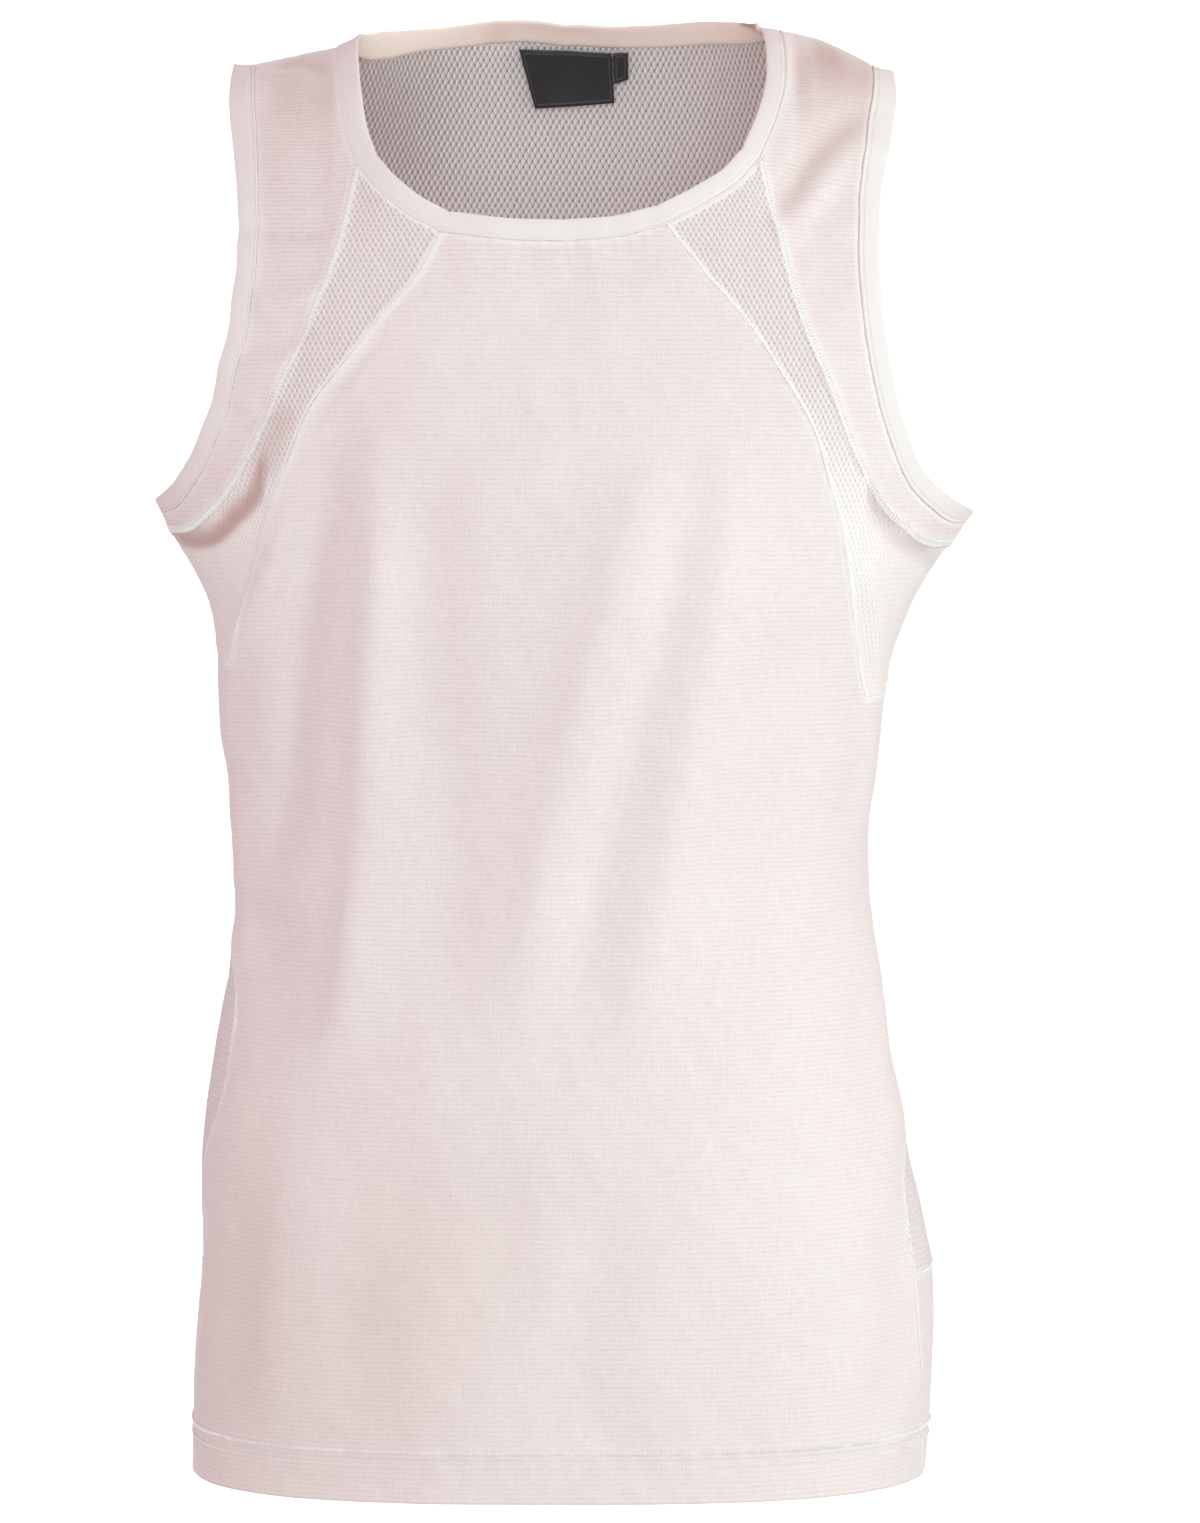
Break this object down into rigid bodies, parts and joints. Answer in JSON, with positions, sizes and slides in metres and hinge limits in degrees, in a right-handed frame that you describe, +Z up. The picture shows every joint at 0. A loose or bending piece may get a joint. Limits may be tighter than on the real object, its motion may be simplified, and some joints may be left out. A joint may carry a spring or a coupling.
{
  "type": "running singlet",
  "caption": "Sleeveless running singlet filled out as worn: ribbed front, mesh back and raglan side insets, bound neck and armholes, turned-up hem.",
  "frame": {"origin": "midway between the tops of the shoulders, where the wearer's shoulders hold the garment", "axes": "+X to the wearer's left, -Y to the front, +Z up"},
  "size_m": [0.3468, 0.238, 0.6149],
  "materials": {
    "shell_knit": "matt ribbed knit",
    "eyelet_mesh": "matt eyelet mesh knit",
    "binding": "smooth matt knit",
    "label_satin": "woven satin"
  },
  "bodies": {
    "root": {"front_panel": "shell_knit", "inset_right": "eyelet_mesh", "inset_left": "eyelet_mesh", "shoulder_right": "shell_knit", "shoulder_left": "shell_knit", "back_panel": "eyelet_mesh", "back_hem_band": "shell_knit", "neck_binding": "binding", "armhole_binding_right": "binding", "armhole_binding_left": "binding", "neck_label": "label_satin", "size_tab": "label_satin"}
  },
  "joints": []
}
